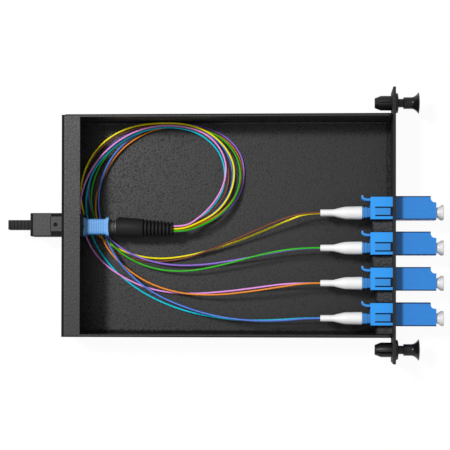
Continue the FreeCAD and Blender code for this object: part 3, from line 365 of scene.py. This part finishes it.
WALL_Y = 52.05
SEAM = np.array([(76.9, WALL_Y, 1.0), (77.3, WALL_Y, 0.9), (77.75, WALL_Y, 0.9)])
SEAM_Z = 13.4
SEAM_HEIGHT = 24.4
FOOT_WIDENING = 2.5
FOOT_INWARDS = 0.6
FOOT_Z = 0.62
FOOT_HEIGHT = 1.1
for name, side in (("upper", 1), ("lower", -1)):
    seam = SEAM * (1, side, 1)
    skin(f"tray_corner_seam_{name}", ribbon(seam, SEAM_Z, SEAM_HEIGHT), coat.material, "cassette")
    foot = seam * (1, 1, FOOT_WIDENING) - (0, side * FOOT_INWARDS, 0)
    skin(f"tray_corner_foot_{name}", ribbon(foot, FOOT_Z, FOOT_HEIGHT), coat.material, "cassette")


# Push-in fasteners. Black nylon, injection moulded: a grommet with a flat head and four legs parted by
# slits, and in it a plunger with a trumpet-shaped knob that is pulled out to let the legs close.
def along_x(stations, y, z, spots=48):
    """Rings across X. A station is x, half width, half height and corner radius, or x and one radius."""
    full = [station if len(station) == 4 else (station[0], *[station[1]] * 3) for station in stations]
    table = np.array(full)
    flat = section(table[:, 1], table[:, 2], table[:, 3], spots)
    across = np.repeat(table[:, 0, None], spots, axis=1)
    return np.dstack([across, flat[..., 0] + y, flat[..., 1] + z])


def turned(profile, angle, y):
    """A profile of X and radius, turned about a fastener's axis to each angle."""
    return np.dstack([profile[:, 0] + 0 * angle, y + profile[:, 1] * np.cos(angle),
                      AXIS_Z + profile[:, 1] * np.sin(angle)])


PANEL_FRONT = 78.9
nylon = Finish("black nylon", (0.009, 0.009, 0.0095, 1), 0.3, Specular_IOR_Level=0.22)
nylon.bump(nylon.noise(2500), 0.00001)
nylon.feed("Roughness", (nylon.spot()[0] < PANEL_FRONT) * 0.2 + 0.2)
PIN_Y = {"upper": 58.75, "lower": -58.75}
PIN_TURN = {"upper": 0, "lower": 22}  # degrees
BORE = 2.13
LEG_END = 69.4
HEAD = np.array([(77.4, BORE), (77.4, 3.5), (PANEL_FRONT, 3.5), (PANEL_FRONT, 4.8), (79.05, 4.9), (79.7, 4.9),
                 (80.25, 4.72), (80.45, 4.5), (80.8, 2.3), (80.75, BORE)])
LEG = np.array([(LEG_END, BORE), (LEG_END, 2.35), (72.3, 3.5), (77.45, 3.5), (77.45, BORE)])
HALF_SLIT = 0.4
PLUNGER = [(LEG_END, 0.4), (69.45, 1.5), (69.9, 2.05), (82.95, 2.05), (83.0, 2.1), (83.0, 2.65), (83.15, 2.8),
           (87.0, 2.8), (87.6, 2.93), (88.3, 3.25), (88.85, 3.66), (89.3, 4.1), (89.8, 4.68), (90.1, 5.02),
           (90.2, 5.08), (90.3, 5.04), (90.45, 4.6), (90.7, 3.2), (90.85, 1.6), (90.88, 0.5)]
all_round = np.linspace(0, 2 * math.pi, 48, endpoint=False)[:, None]
share = np.linspace(0, 1, 13)[:, None]
margin = np.arcsin(HALF_SLIT / LEG[:, 1])
for level, y in PIN_Y.items():
    head = skin(f"fastener_head_{level}", turned(HEAD, all_round, y), nylon.material, "cassette",
                looped=True)
    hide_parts(f"rivet_grommet_{level}")
    for quarter in range(4):
        first = quarter * math.pi / 2 + math.radians(PIN_TURN[level])
        angle = margin + share * (math.pi / 2 - 2 * margin) + first
        skin(f"fastener_leg_{level}_{quarter + 1}", turned(LEG, angle, y), nylon.material, "cassette")
    knob = skin(f"fastener_plunger_{level}", along_x(PLUNGER, y, AXIS_Z), nylon.material, f"plunger_{level}")
    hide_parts(f"rivet_plunger_{level}")


# Duplex adapters. Two halves of blue moulded plastic welded round the ceramic sleeves, with latch
# channels and sprung snap tabs, pushed through the panel from the front.
PANEL_BACK = 77.7
REAR_MOUTH = 69.5
TAB_ASIDE = 0.4
BODY_ASIDE = 2.05
TAB_HALF = 1.7
TAB_END = 76.65
SLOT = (1.62, 2.3)
SIDE_EDGE = 5.05
OUTER_TOP = 6.05
REAR_TOP = 5.7
adapter = Finish("adapter blue", shade(46, 130, 215), 0.34, Specular_IOR_Level=0.35)
x, y, z = adapter.spot()
height = (z - AXIS_Z).math("ABSOLUTE")
from_tab = (y - (FIRST_PORT + TAB_ASIDE)).math("PINGPONG", ADAPTER_PITCH / 2)
from_middle = (y - (FIRST_PORT + BODY_ASIDE)).math("PINGPONG", ADAPTER_PITCH / 2)
# Painted shade: dark lines where the tab is cut free and before the panel and along the outer half's long
# edges, and a slightly darker tab.
slots = from_tab.within(*SLOT) * (x > 69.45) + (from_tab < TAB_HALF) * (x > TAB_END)
tab = (from_tab < TAB_HALF) * (x > REAR_MOUTH) * 0.2
edges = (from_middle > SIDE_EDGE) * (x > PANEL_FRONT) * (height > OUTER_TOP) * 0.85
dark = ((slots + tab) * (x < 77.8) * (height > REAR_TOP) + edges).clamped()
cloud = adapter.noise(900, stretch=(0.2, 1.0, 1.0)) * 0.3
tint = adapter.mix((x < 78.3) * 0.85 + cloud - 0.02, shade(42, 126, 210), shade(40, 160, 252))
adapter.feed("Base Color", adapter.mix(dark, tint, (0.001, 0.012, 0.045, 1.0)))
adapter.feed("Roughness", dark * 0.5 + 0.34)
adapter.bump(adapter.noise(5000), 0.000006)
for number in range(1, len(PORT_Y) + 1):
    dress(adapter.material, f"adapter_{number}_rear", f"adapter_{number}_front")
ceramic = Finish("ceramic", (0.85, 0.84, 0.8, 1), 0.15)
dress(ceramic.material, "alignment_sleeves", "lc_ferrules")


# Dust plugs. Soft translucent white plastic, one in each outer port: a square shank and a flared, dished
# end that fingers can grip.
PORTS = [(f"{number}_{level}", y, z) for number, y in enumerate(PORT_Y, start=1)
         for level, z in LEVEL_Z.items()]
milk = Finish("dust plug white", (0.74, 0.74, 0.735, 1), 0.36)
x, y, z = milk.spot()
# Painted shade: each plug darkens towards its sides across Y.
aside = (((y - FIRST_PORT).math("PINGPONG", ADAPTER_PITCH / 2) - 1.6) * 0.5).clamped()
milk.mottle(milk.noise(600), 0.03, aside * 0.6, (0.3, 0.3, 0.29, 1.0))
PLUG = [(88.4, 1.9, 1.9, 0.3), (88.8, 2.27, 2.27, 0.3), (98.15, 2.27, 2.27, 0.3), (98.2, 2.3, 2.3, 2.29),
        (99.0, 2.4, 2.4, 2.4), (99.4, 2.5, 2.5, 2.5), (99.75, 2.7, 2.62, 2.62), (100.5, 3.28, 2.94, 2.94),
        (100.8, 3.5, 3.05, 3.05), (100.95, 3.57, 3.08, 3.08), (101.65, 3.57, 3.08, 3.08),
        (101.78, 3.5, 3.02, 3.02), (101.8, 3.4, 2.95, 2.95), (101.78, 2.9, 2.5, 2.5), (101.65, 2.7, 2.4, 2.4),
        (101.0, 2.4, 2.3, 2.3), (100.9, 2.2, 2.1, 2.1)]
for port, y, z in PORTS:
    plug = skin(f"dust_plug_white_{port}", along_x(PLUG, y, z, 56), milk.material, f"plug_{port}")
    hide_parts(f"dust_plug_{port}")


# Single-fibre connectors. Blue moulded housings with a grip behind the adapter, and a thin latch that
# springs from the nose, holds the connector in its port and turns up at its end.
def softened(path, times=3):
    """Path with its corners cut: each run keeps its middle half, three times over."""
    for _ in range(times):
        near, far = path[:-1], path[1:]
        kept = np.stack([near * 0.75 + far * 0.25, near * 0.25 + far * 0.75], axis=1)
        path = np.vstack([path[:1], kept.reshape(-1, path.shape[1]), path[-1:]])
    return path


LATCH_WIDTH = 2.8
housing = Finish("connector blue", shade(44, 142, 222), 0.32)
x, y, z = housing.spot()
from_port = (y - FIRST_PORT).math("PINGPONG", ADAPTER_PITCH / 2)
# The grip has two sunk bands across it and a sunk end, all painted darker as shade.
bands = x.within(64.2, 64.85) + x.within(65.6, 67.3) + (x < 63.6)
housing.mottle(housing.noise(800), 0.06, bands * (from_port < 3.0) * 0.5, (0.01, 0.09, 0.25, 1.0))
GRIP = [(63.5, 2.1, 2.1, 0.5), (63.55, 2.4, 2.4, 0.5), (63.7, 2.52, 2.52, 0.5), (64.15, 2.52, 2.52, 0.5),
        (64.25, 2.38, 2.38, 0.5), (64.8, 2.38, 2.38, 0.5), (64.9, 2.52, 2.52, 0.5), (65.45, 2.52, 2.52, 0.5),
        (65.6, 2.45, 2.45, 0.5), (65.7, 2.2, 2.2, 0.3), (78.0, 2.2, 2.2, 0.3), (78.2, 2.1, 2.1, 0.3)]
LATCH = np.array([(75.4, 2.6, 1.2), (73.6, 4.8, 1.0), (72.2, 5.7, 0.9), (69.5, 6.0, 1.0),
                  (67.3, 6.05, 1.15), (66.2, 6.05, 1.2), (65.2, 6.15, 1.25), (64.3, 6.5, 1.15),
                  (63.65, 6.9, 1.1), (63.5, 7.5, 1.0), (63.7, 8.1, 0.9)])
for port, y, z in PORTS:
    grip = skin(f"connector_housing_{port}", along_x(GRIP, y, z, 32), housing.material, "cassette")
    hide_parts(f"lc_connector_{port}")
    skin(f"connector_latch_{port}", ribbon(softened(LATCH) + (0, y, 0), z, LATCH_WIDTH), housing.material,
         "cassette")


# Strain-relief boots. Smooth white flexible plastic slid over each connector's tail, with a thin nose
# that guides the fibre in.
rubber = Finish("boot white", (0.93, 0.93, 0.93, 1), 0.45)
rubber.mottle(rubber.noise(500), 0.02)
BOOT = [(BOOT_END, 0.9), (BOOT_END, 1.3), (43.75, 1.45), (44.1, 1.52), (49.2, 1.54), (50.1, 1.62),
        (51.1, 1.88), (53.5, 2.46), (55.0, 2.76), (56.2, 2.87), (57.5, 2.9), (62.4, 3.0), (63.25, 3.0),
        (63.4, 2.92), (63.45, 2.3)]
for port, y, z in PORTS:
    boot = skin(f"boot_white_{port}", along_x(BOOT, y, z), rubber.material, "cassette")
    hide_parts(f"lc_boot_{port}")


# Glue. Beads of dark hot glue pressed in between the adapters behind the panel, glossy and uneven, with
# a rounded edge where they cooled.
resin = Finish("dark glue", (0.018, 0.018, 0.0185, 1), 0.45, Specular_IOR_Level=0.2)
lumps = resin.noise(700, detail=8.0)
resin.mottle(lumps, 0.6)
resin.bump(lumps, 0.0004)
BEAD_START = 68.0
# Each bead's end behind the panel, its middle in Y and its width.
BEADS = [(BEAD_START, 0.15, 6.4), (BEAD_START, -16.625, 6.25), (69.9, -33.375, 6.25), (69.9, -49.3, 4.7)]
BEAD_FOOT = 2.0
BEAD_TOP = 14.4
BEAD_RISE = 1.6
BEAD_DROP = 1.2
BEAD_EDGE = 1.4
BEAD_NARROW = 0.55
BEAD_CORNER = 0.7
BEAD_SPOTS = 40
steps = np.array([0, 0.02, 0.06, 0.13, 0.25, 0.45, 0.7, 1.0, BEAD_EDGE, 3.0, 5.0, 7.0, 9.3])
# Over the edge's length each bead swells from its end as a quarter circle does.
rounding = np.sqrt(np.clip(1 - (1 - np.minimum(steps / BEAD_EDGE, 1)) ** 2, 0, 1))
for number, (start, middle, width) in enumerate(BEADS, start=1):
    x = start + steps * (PANEL_BACK - start) / steps[-1]
    climb = (x - BEAD_START) / (PANEL_BACK - BEAD_START)
    top = BEAD_TOP + BEAD_RISE * climb - BEAD_DROP * (1 - rounding)
    half_y = width / 2 * (BEAD_NARROW + (1 - BEAD_NARROW) * rounding)
    flat = section(half_y, (top - BEAD_FOOT) / 2, np.full(len(x), BEAD_CORNER), BEAD_SPOTS)
    rings = np.dstack([np.repeat(x[:, None], BEAD_SPOTS, axis=1), flat[..., 0] + middle,
                       flat[..., 1] + ((top + BEAD_FOOT) / 2)[:, None]])
    skin(f"glue_bead_{number}", rings, resin.material, "cassette")
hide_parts("glue_beads")


# Multi-fibre adapter and its dust cap. Both are moulded in black plastic, the adapter with an eroded,
# satin surface. The cap's flat grip has ribs across it.
BODY_Y = 0.7
MPO_Y = -0.2
PAD_TOP = 20.9
DIMPLE_X = -82.7
DIMPLE = 1.1  # square of its radius
satin = Finish("adapter black", (0.018, 0.018, 0.0185, 1), 0.45, Specular_IOR_Level=0.3)
erosion = satin.noise(1300, detail=4.0)
x, y, z = satin.spot()
aside = y - BODY_Y
along = x - DIMPLE_X
across = aside.math("ABSOLUTE")
# Shade lies in the recess round the pad, in the dimple on it and along the body's outer edges.
recess = z.within(20.2, PAD_TOP) * x.within(-84.9, -78.8)
hole = (along * along + aside * aside < DIMPLE) * z.within(18.0, 20.97)
lines = x.within(-85.3, -84.85) * (across < 3.8) + (across > 5.1)
satin.mottle(erosion, 0.45, (recess + hole + lines * (z > PAD_TOP) * 0.8).clamped())
satin.bump(erosion, 0.00006)
satin.feed("Roughness", (recess + lines * 0.6).clamped() * 0.4 + 0.45)
dress(satin.material, "mpo_adapter")
inner = Finish("connector black", (0.02, 0.02, 0.022, 1), 0.4)
dress(inner.material, "mpo_housing", "mpo_ferrule")

COLLAR_END = -94.9
CAP_END = -106.0
CAP_RIBS = 6
RIB_PITCH = 1.7
cover = Finish("cap black", (0.014, 0.014, 0.015, 1), 0.5, Specular_IOR_Level=0.12)
cover.mottle(cover.noise(1500), 0.3)
cover.feed("Roughness", (cover.spot()[0] > COLLAR_END) * 0.35 + 0.5)
shape = [(CAP_END, 2.1, 3.8, 0.3), (-105.9, 2.3, 4.0, 0.3)]
for rib in range(CAP_RIBS):
    x = CAP_END + RIB_PITCH * (rib + 0.5)
    shape += [(x - 0.5, 2.3, 4.0, 0.3), (x - 0.38, 2.3, 4.3, 0.3), (x - 0.25, 2.3, 4.35, 0.3),
              (x + 0.25, 2.3, 4.35, 0.3), (x + 0.38, 2.3, 4.3, 0.3), (x + 0.5, 2.3, 4.0, 0.3)]
shape += [(-94.85, 2.3, 4.0, 0.3), (-94.8, 5.4, 6.35, 0.4), (-94.65, 5.55, 6.5, 0.4), (-93.7, 5.55, 6.5, 0.4),
          (-93.6, 5.4, 6.35, 0.4)]
SHANK = [(-93.5, 3.3, 4.9, 0.3), (-85.2, 3.3, 4.9, 0.3), (-85.0, 3.1, 4.7, 0.3)]
rings = along_x(shape + SHANK, BODY_Y, AXIS_Z, 32)
rings[-len(SHANK):, :, 1] -= BODY_Y - MPO_Y
cap = skin("trunk_dust_cap", rings, cover.material, "cap")
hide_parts("mpo_dust_cap")


# Trunk connector. A blue coupling sleeve that slides back to unlatch, with ribs across it and a rim,
# a black rear body, a bright crimp ring and a black rubber boot that is ribbed towards the fibres.
FRONT = -69.55
BACK = -57.05
RIM = -58.66
COUPLING_RIBS = 8
COUPLING_PITCH = 1.12
FIRST_RIB = -67.9
GROOVE = -67.69
HALF_GROOVE = 0.13
sleeve = Finish("coupling blue", shade(98, 160, 222), 0.4, Specular_IOR_Level=0.35)
x, y, z = sleeve.spot()
# Painted light and shade: lighter towards the sleeve's back, darker in the grooves between the ribs.
from_groove = (x - GROOVE).math("PINGPONG", COUPLING_PITCH / 2)
groove_shade = (from_groove < HALF_GROOVE) * x.within(-68.0, -59.0)
painted_light_and_tone = (x + 68.5) * 0.055 + sleeve.noise(900) * 0.2 + 0.2
sleeve.mottle(painted_light_and_tone, 0.13, groove_shade * 0.3, (0.03, 0.14, 0.4, 1.0))
outside = [(FRONT, 4.42, 5.82), (-69.45, 4.5, 5.9), (-69.25, 4.45, 5.9), (-68.9, 4.2, 5.87),
           (-68.35, 3.8, 5.8)]
for rib in range(COUPLING_RIBS):
    x = FIRST_RIB + COUPLING_PITCH * rib
    outside += [(x, 3.8, 5.8), (x + 0.12, 3.7, 5.68), (x + 0.3, 3.7, 5.68), (x + 0.42, 3.8, 5.8)]
outside += [(-58.7, 3.8, 5.8), (RIM, 4.4, 6.0), (-58.5, 4.5, 6.1), (-57.2, 4.5, 6.1), (BACK, 4.42, 6.0)]
INSIDE = [(BACK, 3.4, 5.1), (-61.5, 3.4, 5.1), (-61.55, 3.33, 4.93), (FRONT, 3.33, 4.93)]
table = np.array(outside + INSIDE)

# Each ring is a superellipse: the ninth powers of y over its half width and z over its half height add
# up to one. A round notch is cut into the front edge. The back edge is hollow in the middle and slants
# forwards towards its underside.
SQUARENESS = 9
SPOTS = 192
NOTCH = 0.65
RIM_HALF = (4.5, 6.1)
RIM_REACH = 1.6
HOLLOW = 0.45
SLANT = 1.6
angle = (np.arange(SPOTS) + 0.5) * 2 * math.pi / SPOTS
reach = ((np.abs(np.cos(angle)) / table[:, 1, None]) ** SQUARENESS
         + (np.abs(np.sin(angle)) / table[:, 2, None]) ** SQUARENESS) ** (-1 / SQUARENESS)
y, z = reach * np.cos(angle), reach * np.sin(angle)
x = np.repeat(table[:, :1], SPOTS, axis=1)
x = np.maximum(x, FRONT + np.sqrt(np.clip(NOTCH ** 2 - y ** 2, 0, None)))
back = np.clip((x - RIM) / RIM_REACH, 0, 1)
x -= back * (HOLLOW * (1 - (y / RIM_HALF[0]) ** 2) + SLANT * (RIM_HALF[1] - z) / (2 * RIM_HALF[1]))
coupling = skin("trunk_coupling", np.dstack([x, y + MPO_Y, z + AXIS_Z]), sleeve.material, "coupling",
                looped=True)
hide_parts("mpo_coupling")

RIBBED_LENGTH = 27.0
BOOT_FRONT = MULTI_BOOT_END - RIBBED_LENGTH
RING_BACK = -54.65
RING = [(RING_BACK, 2.8), (RING_BACK, 3.5), (-54.55, 3.6), (-54.15, 3.6), (BOOT_FRONT, 3.5),
        (BOOT_FRONT, 2.8)]
steel = Finish("crimp ring", (0.12, 0.12, 0.12, 1), 0.6, Metallic=1.0)
ring = skin("trunk_crimp_ring", along_x(RING, MPO_Y, AXIS_Z), steel.material, "cassette")
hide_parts("mpo_crimp_ring")
spring = Finish("steel", (0.5, 0.5, 0.5, 1), 0.3, Metallic=1.0)
dress(spring.material, "mpo_guide_pins", "mpo_spring")
rear = Finish("rear body black", (0.05, 0.05, 0.05, 1), 0.42)
NECK = [(-60.65, 1.7, 3.7, 0.3), (BACK, 1.7, 3.7, 0.3), (BACK, 3.3, 3.3, 3.3), (-55.6, 3.1, 3.1, 3.1),
        (-55.1, 3.0, 3.0, 3.0), (-55.0, 2.7, 2.7, 2.7), (RING_BACK, 2.7, 2.7, 2.7)]
neck = skin("trunk_rear_body", along_x(NECK, MPO_Y, AXIS_Z), rear.material, "cassette")
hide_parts("mpo_collar")

BOOT_RIBS = 8
PLAIN_LENGTH = 12.9
BOOT_PITCH = (RIBBED_LENGTH - PLAIN_LENGTH) / BOOT_RIBS
DROOP = math.radians(2.5)
TROUGH = -40.85
TROUGH_START = -41.3
HALF_TROUGH_PITCH = 0.88
HALF_TROUGH = 0.4
elastic = Finish("boot black", (0.01, 0.01, 0.01, 1), 0.6, Specular_IOR_Level=0.16)
elastic.bump(elastic.noise(1800), 0.00002)
x = elastic.spot()[0]
# The troughs between the ribs are painted darker, as shade.
trough_shade = ((x - TROUGH).math("PINGPONG", HALF_TROUGH_PITCH) < HALF_TROUGH) * (x > TROUGH_START)
elastic.mottle(elastic.noise(900), 0.2, trough_shade * 0.9)
elastic.feed("Roughness", trough_shade * 0.35 + 0.6)
sides = [(0, 3.2), (0, 4.1), (0.1, 4.2), (0.55, 4.2), (0.6, 4.7), (0.85, 4.85), (12.6, 4.42),
         (PLAIN_LENGTH, 4.3)]
for rib in range(BOOT_RIBS):
    x = PLAIN_LENGTH + BOOT_PITCH * rib
    radius = 4.25 - 0.8 * rib / (BOOT_RIBS - 1)
    sides += [(x + 0.02, radius - 0.78), (x + 0.6, radius - 0.8), (x + 0.68, radius - 0.15),
              (x + 0.85, radius), (x + 1.55, radius), (x + 1.7, radius - 0.15)]
sides += [(26.98, 2.9), (RIBBED_LENGTH, 2.5)]
rings = along_x(sides, 0, AXIS_Z, 64)
far, side = rings[..., 0].copy(), rings[..., 1].copy()
rings[..., 0] = BOOT_FRONT + far * math.cos(DROOP) + side * math.sin(DROOP)
rings[..., 1] = MPO_Y - far * math.sin(DROOP) + side * math.cos(DROOP)
ribbed = skin("trunk_boot", rings, elastic.material, "cassette")
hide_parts("mpo_boot")


# Studio. A plain white floor, a lamp high on the left, so that the flange and the panel throw short
# shadows to the right, and weak light from all round.
def seen(nodes):
    """1 on rays from the camera and on those that mirror or pass through a piece, and 0 on the others."""
    rays = ("Is Camera Ray", "Is Glossy Ray", "Is Transmission Ray")
    return sum(nodes.node("LightPath", output=ray) for ray in rays).clamped()


KEY_PLACE = (-0.81, 0.5, 2.0)
light = bpy.data.lights.new("key", "AREA")
light.shape = "SQUARE"
light.size = 0.3
light.energy = 36.0
key = bpy.data.objects.new("key", light)
key.location = KEY_PLACE
tilt = math.atan2(math.hypot(KEY_PLACE[0], KEY_PLACE[1]), KEY_PLACE[2])
key.rotation_euler = (tilt, 0, math.atan2(KEY_PLACE[0], -KEY_PLACE[1]))
bpy.context.scene.collection.objects.link(key)

ROOM_LIGHT = 0.32
world = bpy.data.worlds.new("room")
world.use_nodes = True
room = world.node_tree.nodes["Background"].inputs
room["Color"].default_value = (1, 1, 1, 1)
air = Nodes(world.node_tree)
air.tree.links.new((seen(air) * (1 - ROOM_LIGHT) + ROOM_LIGHT).socket, room["Strength"])
bpy.context.scene.world = world
bpy.context.scene.view_settings.view_transform = "Standard"

# The floor lies a hair under the cassette. It is white to the camera, with some of the real light on it
# left in, which keeps the shadow.
HALF = 6.0
BELOW = -0.0003
ground = bpy.data.meshes.new("floor")
corners = [(-HALF, -HALF, BELOW), (HALF, -HALF, BELOW), (HALF, HALF, BELOW), (-HALF, HALF, BELOW)]
ground.from_pydata(corners, [], [(0, 1, 2, 3)])
floor = bpy.data.objects.new("floor", ground)
bpy.context.scene.collection.objects.link(floor)
paper = Finish("floor paper", (0.8, 0.8, 0.8, 1), 0.9)
glow = paper.node("Emission", {}, {"Color": (1, 1, 1, 1), "Strength": 1.02})
lit = Link(paper, paper.surface.outputs[0])
both = paper.node("MixShader", {}, {0: seen(paper) * 0.93, 1: lit, 2: glow})
paper.tree.links.new(both.socket, paper.tree.nodes["Material Output"].inputs["Surface"])
ground.materials.append(paper.material)
